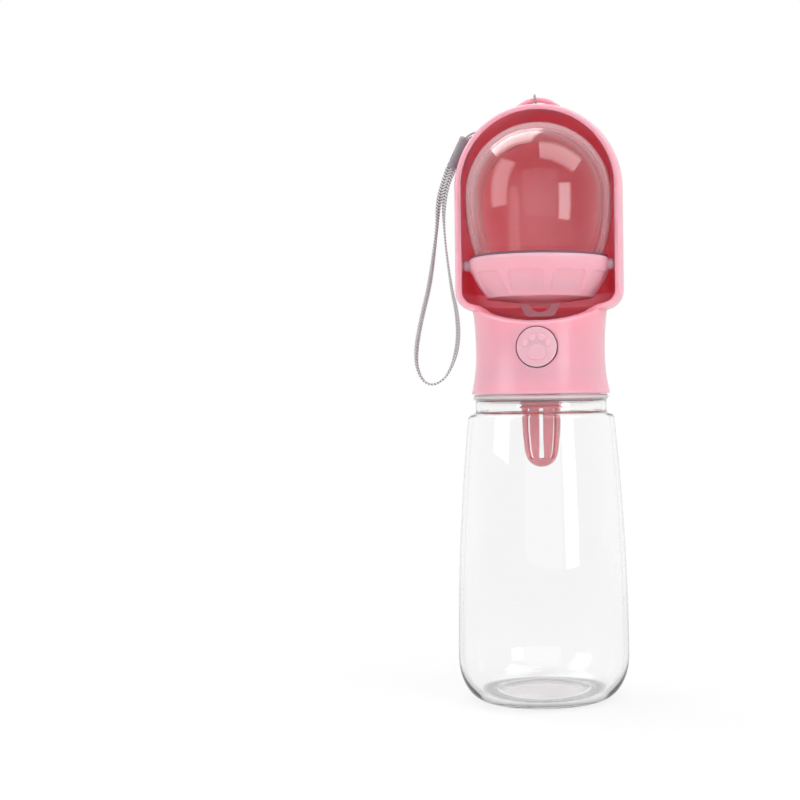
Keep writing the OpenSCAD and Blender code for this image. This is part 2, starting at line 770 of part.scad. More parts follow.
loop_points = [
    ferrule_low - ferrule_side * -1.1, [-41.5, 2, 216], [-43, 2, 209], [-44, 2, 198],
    [-47, 2, 177], [-51, 2, 160], [-53, 2, 149], [-53, 2, 141], [-50.5, 2, 135],
    [-46.5, 2, 133], [-42, 2, 135], [-38.5, 2, 140], [-36, 2, 147.5], [-35.2, 2, 156],
    [-36, 2, 165], [-37.6, 2, 173], [-39.4, 2, 186], [-40.5, 2, 198], [-40.6, 2, 208],
    [-39.4, 2, 217], ferrule_low - ferrule_side * 1.1];

module strap_cord() {
    color([0.75, 0.76, 0.78]) tube(smooth_path(cord_points, 2), cord_r, 8);
}

module strap_ferrule() {
    lean = atan2(ferrule_axis[0], ferrule_axis[2]);
    color([0.6, 0.62, 0.66]) translate(ferrule_top) rotate([0, lean, 0])
        cylinder(h = ferrule_len, r = ferrule_r);
}

module strap_loop() {
    color([0.8, 0.81, 0.82]) tube(smooth_path(loop_points, 2), loop_r, 8);
}

bottle();
neck_gasket();
valve_deck();
head_shell();
valve_body();
valve_plug();
valve_stem();
stem_o_ring();
poppet_seal();
button_cap();
button_spring();
outlet_spout();
filter_basket();
filter_washer();
cup_dome();
cup_base();
cup_seal();
hinge_pins();
strap_cord();
strap_ferrule();
strap_loop();
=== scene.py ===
"""Look of the dog travel water bottle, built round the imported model.

Lengths are in metres in the model's frame: +Z up, the button and the cup
towards -Y, the origin on the ground in the middle of the bottle's foot.
Sizes named in millimetres are multiplied by MM where they are used.
"""

import json
import math

import bmesh
import bpy
from mathutils import Matrix, Vector


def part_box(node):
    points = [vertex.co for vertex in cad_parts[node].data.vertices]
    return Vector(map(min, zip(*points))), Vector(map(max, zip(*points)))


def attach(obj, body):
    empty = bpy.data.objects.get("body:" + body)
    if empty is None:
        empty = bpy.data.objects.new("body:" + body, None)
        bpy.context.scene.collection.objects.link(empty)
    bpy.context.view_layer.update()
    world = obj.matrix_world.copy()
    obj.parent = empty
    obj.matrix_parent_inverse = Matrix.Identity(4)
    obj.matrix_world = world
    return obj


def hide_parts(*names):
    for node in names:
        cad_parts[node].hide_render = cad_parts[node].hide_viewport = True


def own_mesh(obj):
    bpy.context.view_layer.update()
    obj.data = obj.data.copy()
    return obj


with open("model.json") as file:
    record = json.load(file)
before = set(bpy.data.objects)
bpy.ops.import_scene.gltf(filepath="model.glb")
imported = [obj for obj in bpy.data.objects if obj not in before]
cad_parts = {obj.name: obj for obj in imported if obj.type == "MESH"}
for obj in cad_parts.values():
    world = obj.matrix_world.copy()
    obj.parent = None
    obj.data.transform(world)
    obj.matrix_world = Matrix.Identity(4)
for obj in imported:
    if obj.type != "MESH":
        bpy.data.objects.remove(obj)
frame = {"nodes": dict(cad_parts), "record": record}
NODES = frame["nodes"]
SLOT_OF = {p["node"]: p["material_slot"] for p in frame["record"]["subparts"]}
BODY_OF = {
    node: body
    for body, nodes in frame["record"]["behaviour"]["bodies"].items()
    for node in nodes
}


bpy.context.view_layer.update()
MM = 0.001

# ------------------------------------------------------------------ camera

IMAGE = 800  # side of the square picture, in pixels
FOCAL_PX = 1492  # focal length, in pixels
CAM_DIST = 0.632
CAM_HEIGHT = 0.1275
CAM_TURN = math.radians(3.3)  # round the axis, towards +X
CAM_ROLL = math.radians(0.7)
AXIS_PX = (541, 396)  # where the bottle's axis meets the horizon


def make_camera():
    data = bpy.data.cameras.new("camera")
    cam = bpy.data.objects.new("camera", data)
    bpy.context.scene.collection.objects.link(cam)
    cam.location = (
        CAM_DIST * math.sin(CAM_TURN),
        -CAM_DIST * math.cos(CAM_TURN),
        CAM_HEIGHT,
    )
    look = Matrix.Rotation(CAM_TURN, 4, "Z") @ Matrix.Rotation(math.pi / 2, 4, "X")
    cam.rotation_euler = (look @ Matrix.Rotation(-CAM_ROLL, 4, "Z")).to_euler()
    data.sensor_fit = "HORIZONTAL"
    data.sensor_width = 36
    data.lens = FOCAL_PX / IMAGE * data.sensor_width
    data.shift_x = (IMAGE / 2 - AXIS_PX[0]) / IMAGE
    data.shift_y = (AXIS_PX[1] - IMAGE / 2) / IMAGE
    bpy.context.scene.camera = cam


make_camera()
bpy.context.scene.view_settings.view_transform = "Standard"

# ------------------------------------------------------------------ helpers

CRISP = 35  # turned edges sharper than this, in degrees, stay crisp


def link(obj):
    bpy.context.scene.collection.objects.link(obj)
    return obj


def shade_smooth(mesh, sharp_above=None):
    mesh.polygons.foreach_set("use_smooth", [True] * len(mesh.polygons))
    if sharp_above is not None:
        mesh.set_sharp_from_angle(angle=math.radians(sharp_above))
    mesh.update()


def mesh_object(name, verts, faces):
    mesh = bpy.data.meshes.new(name)
    mesh.from_pydata([tuple(v) for v in verts], [], faces)
    shade_smooth(mesh)
    return link(bpy.data.objects.new(name, mesh))


def rework(mesh, change):
    """Runs change(edit) on the mesh in edit form and keeps what it makes."""
    edit = bmesh.new()
    edit.from_mesh(mesh)
    change(edit)
    edit.to_mesh(mesh)
    edit.free()


def stand_for(obj, node):
    """The piece takes a node's place: the node is hidden and the piece rides on its body."""
    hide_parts(node)
    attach(obj, BODY_OF[node])
    return obj


def mark(mesh, name, values):
    """Keeps a number for each vertex on the mesh, for its material to read."""
    kept = mesh.attributes.new(name, "FLOAT", "POINT")
    kept.data.foreach_set("value", values)


def moulded_copy(node, name, voxel, rounds, painted_shade=None, reshape=None, rolled=None):
    """Stands for a node, with the edges and inside corners softly rounded.

    voxel is the size in mm at which the node's mesh is made anew, and rounds
    the number of times it is smoothed. Three functions of a point in mm may
    be given: the first says how deep inside the part the point lies, from 0
    to 1, and sets how much shade the material paints there; reshape gives its
    new place, and rolled says whether it is smoothed much further.
    """
    obj = link(bpy.data.objects.new(name, NODES[node].data.copy()))
    remesh = obj.modifiers.new("remesh", "REMESH")
    remesh.mode = "VOXEL"
    remesh.voxel_size = voxel * MM
    soften = obj.modifiers.new("soften", "SMOOTH")
    soften.factor = 0.5
    soften.iterations = rounds
    bpy.context.view_layer.update()
    graph = bpy.context.evaluated_depsgraph_get()
    mesh = bpy.data.meshes.new_from_object(obj.evaluated_get(graph))
    obj.modifiers.clear()
    obj.data = mesh
    # Depth inside the part, kept for the shade that the material paints there
    if painted_shade:
        mark(mesh, "painted_shade", [painted_shade(*(v.co / MM)) for v in mesh.vertices])
    if reshape:
        for v in mesh.vertices:
            v.co = Vector(reshape(*(v.co / MM))) * MM
    if rolled:
        rework(mesh, lambda edit: roll_over(edit, rolled))
    shade_smooth(mesh)
    return stand_for(obj, node)


def roll_over(edit, rolled, rounds=40):
    """Smooths the chosen points until a sharp edge there is round."""
    near = [v for v in edit.verts if rolled(*(v.co / MM))]
    for _ in range(rounds):
        bmesh.ops.smooth_vert(
            edit, verts=near, factor=0.5, use_axis_x=True, use_axis_y=True, use_axis_z=True
        )


def arc(centre, radius, start, end, steps):
    """Points on an arc in the (radius, height) plane; angles in degrees."""
    out = []
    for i in range(steps + 1):
        a = math.radians(start + (end - start) * i / steps)
        out.append((centre[0] + radius * math.cos(a), centre[1] + radius * math.sin(a)))
    return out


def lathe(name, profile, bulge=None):
    """Solid turned about Z from a closed loop of (radius, height) points, in mm.

    bulge(radius, height, angle) is added to the radius.
    """
    segments = 192
    verts, rings = [], []
    for r, z in profile:
        count = 1 if r < 1e-6 else segments
        rings.append([len(verts) + k for k in range(count)])
        for k in range(count):
            a = 2 * math.pi * k / segments
            reach = (r + (bulge(r, z, a) if bulge else 0)) * MM
            verts.append((reach * math.cos(a), reach * math.sin(a), z * MM))
    faces = []
    for low, high in zip(rings, rings[1:] + rings[:1]):
        if len(low) == 1 and len(high) == 1:
            continue
        for k in range(segments):
            m = (k + 1) % segments
            if len(low) == 1:
                faces.append((low[0], high[m], high[k]))
            elif len(high) == 1:
                faces.append((low[k], low[m], high[0]))
            else:
                faces.append((low[k], low[m], high[m], high[k]))
    obj = mesh_object(name, verts, faces)
    rework(obj.data, face_outwards)
    shade_smooth(obj.data, CRISP)
    return obj


def face_outwards(edit):
    bmesh.ops.recalc_face_normals(edit, faces=edit.faces)


def eased(value, start, end):
    """0 before start, 1 after end, smooth between."""
    t = min(1, max(0, (value - start) / (end - start)))
    return t * t * (3 - 2 * t)


def smooth_path(points, steps):
    """Catmull-Rom curve through the points, as part.scad draws it."""
    pts = [Vector(p) for p in points]
    last = len(pts) - 1
    out = []
    for i in range(last):
        a, b = pts[max(i - 1, 0)], pts[i]
        c, d = pts[i + 1], pts[min(i + 2, last)]
        for k in range(steps):
            t = k / steps
            out.append(
                0.5
                * (
                    2 * b
                    + (c - a) * t
                    + (2 * a - 5 * b + 4 * c - d) * t**2
                    + (3 * b - a - 3 * c + d) * t**3
                )
            )
    return out + [pts[last]]


def headings(path):
    """Direction of the path at each point."""
    last = len(path) - 1
    return [
        (path[min(i + 1, last)] - path[max(i - 1, 0)]).normalized() for i in range(last + 1)
    ]


def untwisted(path):
    """Two vectors across the path at each point, carried without twist."""
    out, side = [], None
    for head in headings(path):
        if side is None:
            side = head.cross(Vector((0, 1, 0))).normalized()
        side = (side - side.dot(head) * head).normalized()
        out.append((side, head.cross(side)))
    return out


def strand(name, path, across, sides, section):
    """Closed strand along a path.

    section(run, angle) gives the offsets along the two vectors across the
    path, in mm, and how high the yarn stands there, from 0 in a groove to 1,
    which is kept on the mesh as "relief" for the material to paint shade in
    the grooves.
    """
    verts, relief = [], []
    run = 0.0
    for i, (point, (u, v)) in enumerate(zip(path, across)):
        if i:
            run += (point - path[i - 1]).length / MM
        for k in range(sides):
            x, y, height = section(run, 2 * math.pi * k / sides)
            verts.append(point + (x * u + y * v) * MM)
            relief.append(height)
    faces = []
    for i in range(len(path) - 1):
        for k in range(sides):
            m = (k + 1) % sides
            faces.append(
                (i * sides + k, (i + 1) * sides + k, (i + 1) * sides + m, i * sides + m)
            )
    faces.append(tuple(range(sides)))
    faces.append(tuple((len(path) - 1) * sides + k for k in reversed(range(sides))))
    obj = mesh_object(name, verts, faces)
    mark(obj.data, "relief", relief)
    return obj


# ------------------------------------------------------------------ strap

# Lengths and places in mm; the routes are those in part.scad
FERRULE_TOP = Vector((-31, 2, 238))
FERRULE_LEN = 14.5
FERRULE_AXIS = Vector((-6.5, 0, -13.5)).normalized()
FERRULE_SIDE = Vector((-13.5, 0, 6.5)).normalized()
FERRULE_LOW = FERRULE_TOP + FERRULE_AXIS * FERRULE_LEN
FERRULE_R = 2.2
LEG_OUT = 1.1  # from the sleeve's axis to each leg of the loop
CORD_R = 0.45
TAPE_W, TAPE_T = 2.6, 1.0
PLIES, PLY_DEPTH = 3, 0.1  # of the thin cord
LAY = 1.3  # spacing along the strap of the plies, and of the braid's stitches
CORD_STEPS, CORD_SIDES = 30, 18
LOOP_STEPS, LOOP_SIDES = 90, 28
FERRULE_RINGS, FERRULE_SIDES = 90, 48

CORD_POINTS = [
    FERRULE_TOP + Vector((0, 0.7, 0)), (-28.5, 4.4, 240), (-24.5, 6.5, 241.6),
    (-20, 7.9, 244.5), (-14, 8.8, 247.6), (-8, 8.6, 249.6), (-4.4, 8.2, 251),
    (-2.7, 7.4, 252.9), (-1.8, 6.5, 254.6), (-1.5, 5, 255.6), (-1.3, 3.5, 255.6),
    (-1.2, 2.25, 255.25), (-1.1, 1.55, 254.55), (-1, 1.3, 253.6), (-0.9, 1.55, 252.65),
    (-0.8, 2.25, 251.95), (-0.7, 3.5, 251.6), (-0.8, 5.3, 251.5), (-2, 7.6, 250.9),
    (-5, 9.9, 249.8), (-11, 10.5, 248.3), (-17, 10, 245.9), (-22.5, 8.6, 242.5),
    (-27, 6, 239.7), FERRULE_TOP + Vector((0.3, 1.7, -0.5)),
]

LOOP_POINTS = [
    FERRULE_LOW + FERRULE_SIDE * LEG_OUT, (-41.5, 2, 216), (-43, 2, 209),
    (-44, 2, 198), (-47, 2, 177), (-51, 2, 160), (-53, 2, 149), (-53, 2, 141),
    (-50.5, 2, 135), (-46.5, 2, 133), (-42, 2, 135), (-38.5, 2, 140),
    (-36, 2, 147.5), (-35.2, 2, 156), (-36, 2, 165), (-37.6, 2, 173),
    (-39.4, 2, 186), (-40.5, 2, 198), (-40.6, 2, 208), (-39.4, 2, 217),
    FERRULE_LOW - FERRULE_SIDE * LEG_OUT,
]

# Turn of the tape's flat side away from the front at each point, in degrees
LOOP_TURNS = [0, 0, 40, 74, 50, 52, 55, 70, 85, 90, 85, 65, 42, 40, 50, 64, 79, 80, 50, 8, 0]


def metres(points):
    return [Vector(p) * MM for p in points]


def twisted_cord(run, angle):
    """Plies wound round each other."""
    stands = 0.5 + 0.5 * math.cos(PLIES * angle + 2 * math.pi * run / LAY)
    r = CORD_R - PLY_DEPTH * (1 - stands)
    return r * math.cos(angle), r * math.sin(angle), stands


def braided_tape(run, angle):
    """Flat braid: V-shaped stitches on both sides, scalloped edges.

    The powers square the ellipse off, so that the sides of the tape are flat.
    """
    c, s = math.cos(angle), math.sin(angle)
    x = math.copysign(abs(c) ** 0.75, c)
    y = math.copysign(abs(s) ** 0.6, s)
    slant, edge_scallop, groove = 0.75, 0.1, 0.28
    stitch = 0.5 + 0.5 * math.cos(2 * math.pi * (run / LAY + slant * abs(x)))
    middle_seam = min(1, 0.35 + 2.5 * abs(x))
    stands = stitch * middle_seam
    return (
        x * TAPE_W / 2 * (1 - edge_scallop + edge_scallop * stitch),
        y * TAPE_T / 2 * (1 - groove + groove * stands),
        stands,
    )


def ferrule_section(run, angle):
    """Pressed sleeve: rounded ends, a shallow crimp near each end."""
    round_r, round_len = 0.6, 0.7
    crimp_depth, crimp_at, crimp_w = 0.16, 2.6, 0.45
    flatness = 0.94
    end = min(run, FERRULE_LEN - run)
    r = FERRULE_R - round_r * max(0, 1 - end / round_len) ** 2
    r -= crimp_depth * math.exp(-(((end - crimp_at) / crimp_w) ** 2))
    return r * math.cos(angle), flatness * r * math.sin(angle), 1.0


def facing_front(path, turns):
    """Vectors across the path: the first lies in the front plane, then turns."""
    out = []
    for head, turn in zip(headings(path), turns):
        flat = head.cross(Vector((0, -1, 0))).normalized()
        deep = flat.cross(head).normalized()
        c, s = math.cos(math.radians(turn)), math.sin(math.radians(turn))
        out.append((c * flat + s * deep, c * deep - s * flat))
    return out


def make_strap():
    cord_path = smooth_path(metres(CORD_POINTS), CORD_STEPS)
    cord = strand(
        "strap_twisted_cord", cord_path, untwisted(cord_path), CORD_SIDES, twisted_cord
    )
    turning = [Vector((*p, t)) for p, t in zip(LOOP_POINTS, LOOP_TURNS)]
    turned = smooth_path(turning, LOOP_STEPS)
    loop_path = [Vector(p[:3]) * MM for p in turned]
    across = facing_front(loop_path, [p[3] for p in turned])
    loop = strand("strap_braided_loop", loop_path, across, LOOP_SIDES, braided_tape)
    ferrule_path = [
        (FERRULE_TOP + FERRULE_AXIS * FERRULE_LEN * i / FERRULE_RINGS) * MM
        for i in range(FERRULE_RINGS + 1)
    ]
    ferrule = strand(
        "strap_sleeve", ferrule_path, untwisted(ferrule_path), FERRULE_SIDES, ferrule_section
    )
    stand_for(ferrule, "strap_ferrule")
    for piece, node, path, width in (
        (cord, "strap_cord", cord_path, 2 * CORD_R),
        (loop, "strap_loop", loop_path, TAPE_W),
    ):
        stand_for(piece, node)
    return {"strap_cord": cord, "strap_loop": loop, "strap_ferrule": ferrule}


# The piece that stands for each replaced node
PIECES = make_strap()

# ------------------------------------------------------------------ bottle

# Lengths and places in mm, from the ground and from the bottle's axis
BODY_R = 36
BOTTLE_WALL = 1.8
FOOT_Z, FOOT_R = 18, 24
FOOT_RING = (20.2, 22.8)  # the ring that the bottle stands on
PUNT_R, PUNT_H, PUNT_POWER = 19.3, 4, 2.2
PUNT_STEPS = 12
FLOOR_R, FLOOR_Z, FLOOR_H = 20.4, 3.1, 3.1  # inside of the domed foot
HEEL_FLOOR = 1.9  # wall under the rounded corner
SHOULDER_Z, SHOULDER_R, SHOULDER_ROUND = 117.6, 31, 2.4
SIDE_STEPS = 40
NECK_R, NECK_Z, THROAT_ROUND = 27.7, 121.2, 1.1
BEAD_R, BEAD_Z, BEAD_ROUND = 27.55, 127.05, 1.15
FINISH_R, FINISH_LOW, FINISH_Z = 25.2, 128.3, 135.2
FINISH_STEP, FINISH_STEPS = 0.23, 30
RIM_ROUND = 0.7
BORE_R, NECK_BORE_R = 23.2, 25.9
THREAD_PITCH, THREAD_Z = 5.0, 129.6
THREAD_OUT, THREAD_HALF = 0.6, 0.85
THREAD_END, THREAD_FADE = 0.92, 0.06  # in turns


def side_radius(z):
    """Quarter ellipse at the foot, then a slow inward curve to the shoulder."""
    if z < FOOT_Z:
        return FOOT_R + (BODY_R - FOOT_R) * math.sqrt(1 - ((FOOT_Z - z) / FOOT_Z) ** 2)
    return BODY_R - (BODY_R - SHOULDER_R) * ((z - FOOT_Z) / (SHOULDER_Z - FOOT_Z)) ** 2


def heel_height(angle):
    """Height of the rounded foot corner at an angle up from the ground."""
    return FOOT_Z * (1 - math.cos(math.radians(angle)))


def punt_rise(share):
    """Height of the domed foot at a share of its radius: 1 in the middle, 0 at the edge."""
    return 1 - share**PUNT_POWER


def bottle_profile():
    steps = range(PUNT_STEPS + 1)
    punt = [(PUNT_R * i / PUNT_STEPS, PUNT_H * punt_rise(i / PUNT_STEPS)) for i in steps]
    foot = [(r, 0.0) for r in FOOT_RING]
    heel = [(side_radius(heel_height(a)), heel_height(a)) for a in range(6, 90, 4)]
    rise = [FOOT_Z + (SHOULDER_Z - FOOT_Z) * i / SIDE_STEPS for i in range(SIDE_STEPS + 1)]
    side = [(side_radius(z), z) for z in rise]
    shoulder = arc((SHOULDER_R - SHOULDER_ROUND, SHOULDER_Z), SHOULDER_ROUND, 6, 78, 9)
    throat = arc((NECK_R + THROAT_ROUND, NECK_Z), THROAT_ROUND, 258, 180, 6)
    neck = [(NECK_R, 125.6)]
    bead = arc((BEAD_R, BEAD_Z), BEAD_ROUND, -80, 86, 14)
    finish = [(FINISH_R + 0.6, 128.2)] + [
        (FINISH_R, FINISH_LOW + FINISH_STEP * i) for i in range(FINISH_STEPS)
    ]
    rim = arc((FINISH_R - 1, FINISH_Z - RIM_ROUND), RIM_ROUND, 60, 120, 4)
    bore = [
        (BORE_R, 134.4), (BORE_R, 127.8), (23.9, 126.9),
        (NECK_BORE_R, 125.4), (NECK_BORE_R, 121),
    ]
    inner_shoulder = arc(
        (SHOULDER_R - SHOULDER_ROUND - BOTTLE_WALL, SHOULDER_Z), SHOULDER_ROUND, 78, 6, 7
    )
    inner_side = [(side_radius(z) - BOTTLE_WALL, z) for z in reversed(rise)]
    inner_heel = [
        (FOOT_R - BOTTLE_WALL + (BODY_R - FOOT_R) * math.sin(math.radians(a)),
         heel_height(a) + HEEL_FLOOR * math.cos(math.radians(a)))
        for a in range(84, 16, -4)
    ]
    inner_floor = [(21.4, 3.05)] + [
        (FLOOR_R * (1 - i / PUNT_STEPS), FLOOR_Z + FLOOR_H * punt_rise(1 - i / PUNT_STEPS))
        for i in steps
    ]
    return (
        punt + foot + heel + side + shoulder + throat + neck + bead + finish + rim
        + bore + inner_shoulder + inner_side + inner_heel + inner_floor
    )


def thread_ridge(r, z, angle):
    """Screw ridge that climbs once round the bottle's mouth."""
    if not (abs(r - FINISH_R) < 0.01 and z > FINISH_LOW - 0.05):
        return 0
    turn = angle / (2 * math.pi)
    off = abs(z - THREAD_Z - THREAD_PITCH * turn)
    fade = min(1, turn / THREAD_FADE, max(0, THREAD_END - turn) / THREAD_FADE)
    return THREAD_OUT * fade * max(0, 1 - (off / THREAD_HALF) ** 2)


def bottle_frost(z, wide):
    """How milky the plastic is: the bead, and the fine-grained domed foot."""
    bead_half, foot_frost = 1.6, 0.35
    if z > NECK_Z:
        return max(0, 1 - abs(z - BEAD_Z) / bead_half)
    return foot_frost if wide < PUNT_R - 0.1 and z < 8 else 0


def painted_foot_shade(z, wide):
    """How much shade is painted along the standing edge, where the wall is seen end on."""
    line_h = 1.3
    return max(0, 1 - z / line_h) if wide > PUNT_R + 0.1 else 0


def make_bottle():
    bottle = lathe("bottle_blown", bottle_profile(), thread_ridge)
    places = [(v.co.z / MM, v.co.xy.length / MM) for v in bottle.data.vertices]
    mark(bottle.data, "frost", [bottle_frost(z, wide) for z, wide in places])
    # The standing edge's painted shade, kept for the material
    mark(bottle.data, "foot", [painted_foot_shade(z, wide) for z, wide in places])
    return {"bottle": stand_for(bottle, "bottle")}


PIECES.update(make_bottle())

# ------------------------------------------------------------------ head, cup, filter

# Lengths and places in mm. The dome is up to 0.7 mm wider than its solid, to
# match the outline in the photograph.
DOME_R, DOME_Z, DOME_WALL = 31.3, 212.0, 2.4
DOME_FOOT_R, DOME_LOW, DOME_SEAT = 27.4, 187.6, 182.6
DOME_TAPER = 2.3  # power of the curve from foot to full width
DOME_SIDE_STEPS, DOME_CAP_STEPS = 24, 36
MOUTH_Y, MOUTH_ROUND = 13, 0.8
HEAD_IN, BALL_Z, FRONT_Y = 33.7, 215, -11  # capsule: bore, start of its round top, front
WELL_IN, WELL_FLOOR, CORNER_Z = 24.6, 155.5, 171.8  # well: bore, floor, corner under the capsule
BUTTON_Z, BUTTON_WELL_R, BUTTON_TRAVEL = 147.5, 8.5, 3.0
BUTTON_FACE_R = 27.7
RELIEF_R, RELIEF_GROWS = 6.6, 0.3
CUP_FOOT_R, CUP_FOOT_Z, CUP_ROLL_R = 23.0, 169.0, 2.6
FILTER_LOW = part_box("filter_basket")[0][2] / MM
FILTER_CAP = 12  # height over which the filter's tip is filled out
FILTER_SKIN = (6.3, 7.0)  # inside up to the first radius, outside from the second
FILTER_TIP_GROWS = 0.32


def dome_radius(z):
    share = (DOME_Z - z) / (DOME_Z - DOME_LOW)
    return DOME_R - (DOME_R - DOME_FOOT_R) * share**DOME_TAPER


def cut_mouth(edit):
    """Cuts the dome flat where the dog drinks, and rounds the cut's edge."""
    bmesh.ops.bisect_plane(
        edit,
        geom=edit.verts[:] + edit.edges[:] + edit.faces[:],
        plane_co=(0, MOUTH_Y * MM, 0),
        plane_no=(0, 1, 0),
        clear_outer=True,
    )
    edge = [e for e in edit.edges if e.is_boundary]
    bmesh.ops.contextual_create(edit, geom=edge)
    face_outwards(edit)
    bmesh.ops.bevel(
        edit,
        geom=[e for e in edge if e.is_valid],
        offset=MOUTH_ROUND * MM,
        offset_type="OFFSET",
        segments=4,
        profile=0.5,
        affect="EDGES",
    )


def make_dome():
    """Clear half of the cup: a turned shell with a flat mouth."""
    height = DOME_Z - DOME_LOW
    rise = [DOME_LOW + height * i / DOME_SIDE_STEPS for i in range(DOME_SIDE_STEPS)]
    outer = [(DOME_FOOT_R, DOME_SEAT)] + [(dome_radius(z), z) for z in rise]
    outer += arc((0, DOME_Z), DOME_R, 0, 90, DOME_CAP_STEPS)
    inner = arc((0, DOME_Z), DOME_R - DOME_WALL, 90, 0, DOME_CAP_STEPS)
    inner += [(dome_radius(z) - DOME_WALL, z) for z in reversed(rise)]
    inner += [(DOME_FOOT_R - DOME_WALL, DOME_SEAT)]
    # Exactly on the axis, which the cosine of 90 degrees misses by a rounding error
    outer[-1] = (0, DOME_Z + DOME_R)
    inner[0] = (0, DOME_Z + DOME_R - DOME_WALL)
    dome = lathe("cup_dome_moulded", outer + inner)
    rework(dome.data, cut_mouth)
    shade_smooth(dome.data, CRISP)
    return {"cup_dome": stand_for(dome, "cup_dome")}


def below_face(x, y):
    """Depth behind the curved front of the waist, at the button's face, in mm."""
    return y + math.sqrt(max(0, BUTTON_FACE_R**2 - x**2))


def inside_head(x, y, z):
    """Whether a point of the head's skin lies inside the capsule or the well."""
    wide = math.hypot(x, y)
    if z <= CORNER_Z - 12:
        return wide <= WELL_IN + 1 and z >= WELL_FLOOR - 1
    if z < CORNER_Z and wide > HEAD_IN - 0.6 * (CORNER_Z - z):
        return False
    return math.hypot(wide, max(0, z - BALL_Z)) <= HEAD_IN + 0.8


def head_shade_depth(x, y, z):
    """How deep a point of the head's skin lies inside the capsule or a well, which sets the
    shade painted there.
    """
    if math.hypot(x, z - BUTTON_Z) < BUTTON_WELL_R + 0.5 and y < 0:
        return eased(below_face(x, y), 0.4, 1.6)
    if not inside_head(x, y, z):
        return 0
    # Painted shade: deeper towards the back of the capsule and down in the well
    behind = 0.95 * eased(y, FRONT_Y + 3, FRONT_Y + 40)
    below = eased(-z, 2 - CORNER_Z, -WELL_FLOOR) * eased(y, 2 - WELL_IN, 10 - WELL_IN)
    return max(behind, below)


def near_cup_foot(x, y, z):
    """Whether a point lies close to the sharp edge under the cup."""
    return math.hypot(math.hypot(x, y) - CUP_FOOT_R, z - CUP_FOOT_Z) < CUP_ROLL_R


def button_shade_depth(x, y, z):
    """How deep a point of the button's skin lies in the gap round it, which sets the shade
    painted there.
    """
    return eased(below_face(x, y), 0.7, 1.5)


def spread_relief(x, y, z):
    """Spreads the relief over the button's face."""
    up = z - BUTTON_Z
    wide = math.hypot(x, up)
    if wide > RELIEF_R or below_face(x, y) > 0.9:
        return x, y, z
    grow = 1 + RELIEF_GROWS * (1 - (wide / RELIEF_R) ** 2)
    return x * grow, y, BUTTON_Z + up * grow


def strainer_shade_depth(x, y, z):
    """Painted shade: 1 inside the strainer, 0 on its outside and its tip."""
    return 1 - eased(math.hypot(x, y), *FILTER_SKIN) if z > FILTER_LOW + FILTER_CAP else 0


def fill_tip(x, y, z):
    """Fills the strainer's rounded tip out."""
    grow = 1 + FILTER_TIP_GROWS * (1 - eased(z, FILTER_LOW - 2, FILTER_LOW + FILTER_CAP))
    return x * grow, y * grow, z


def make_moulded():
    """The four mouldings, each at the voxel size that its detail needs."""
    return {
        "head_shell": moulded_copy("head_shell", "head_shell_moulded", 0.45, 6, head_shade_depth),
        "cup_base": moulded_copy(
            "cup_base", "cup_base_moulded", 0.28, 6, rolled=near_cup_foot
        ),
        "button_cap": moulded_copy(
            "button_cap", "button_moulded", 0.14, 3, button_shade_depth, spread_relief
        ),
        "filter_basket": moulded_copy(
            "filter_basket", "filter_moulded", 0.2, 3, strainer_shade_depth, fill_tip
        ),
    }


def make_spring():
    """Return spring under the button: a smooth-shaded copy of the node's coil, on a mesh of its
    own.
    """
    wound = NODES["button_spring"].data.copy()
    spring = link(bpy.data.objects.new("button_spring_wound", wound))
    shade_smooth(wound, 50)
    stand_for(spring, "button_spring")
    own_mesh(spring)
    return {"button_spring": spring}


PIECES.update(make_spring())
PIECES.update(make_dome())
PIECES.update(make_moulded())

# ------------------------------------------------------------------ materials

FINE_BUMP = 0.0001  # depth of a moulded skin's grain


class Nodes:
    """Short way to add and join the nodes of one tree."""

    def __init__(self, tree):
        self.tree = tree

    def node(self, kind, **settings):
        """New node; each setting is a property of it or an input's value."""
        made = self.tree.nodes.new("ShaderNode" + kind)
        for key, value in settings.items():
            if hasattr(made, key):
                setattr(made, key, value)
            else:
                made.inputs[key.replace("_", " ")].default_value = value
        return made

    def join(self, source, target):
        self.tree.links.new(source, target)

    def position(self, scale=(1, 1, 1)):
        coords = self.node("TexCoord")
        mapping = self.node("Mapping")
        mapping.inputs["Scale"].default_value = scale
        self.join(coords.outputs["Object"], mapping.inputs["Vector"])
        return mapping.outputs["Vector"]

    def noise(self, scale, detail=3.0, stretch=(1, 1, 1)):
        made = self.node("TexNoise", Scale=scale, Detail=detail)
        self.join(self.position(stretch), made.inputs["Vector"])
        return made.outputs["Fac"]

    def ranged(self, value, low, high, start=0.0, end=1.0):
        """low where the value is at start, high where it is at end."""
        limits = {"From_Min": start, "From_Max": end, "To_Min": low, "To_Max": high}
        made = self.node("MapRange", **limits)
        self.join(value, made.inputs["Value"])
        return made.outputs["Result"]

    def maths(self, operation, first, second, **settings):
        made = self.node("Math", operation=operation, **settings)
        self.join(first, made.inputs[0])
        self.join(second, made.inputs[1])
        return made.outputs[0]

    def mixed(self, factor, first, second):
        """Colour between two colours, each a tuple or a socket."""
        made = self.node("Mix", data_type="RGBA")
        for socket, colour in ((made.inputs[6], first), (made.inputs[7], second)):
            if isinstance(colour, tuple):
                socket.default_value = (*colour, 1)
            else:
                self.join(colour, socket)
        self.join(factor, made.inputs["Factor"])
        return made.outputs[2]

    def blended(self, share, first, second):
        """Shader between two shaders."""
        made = self.node("MixShader")
        for source, socket in zip((share, first, second), made.inputs):
            self.join(source, socket)
        return made.outputs["Shader"]


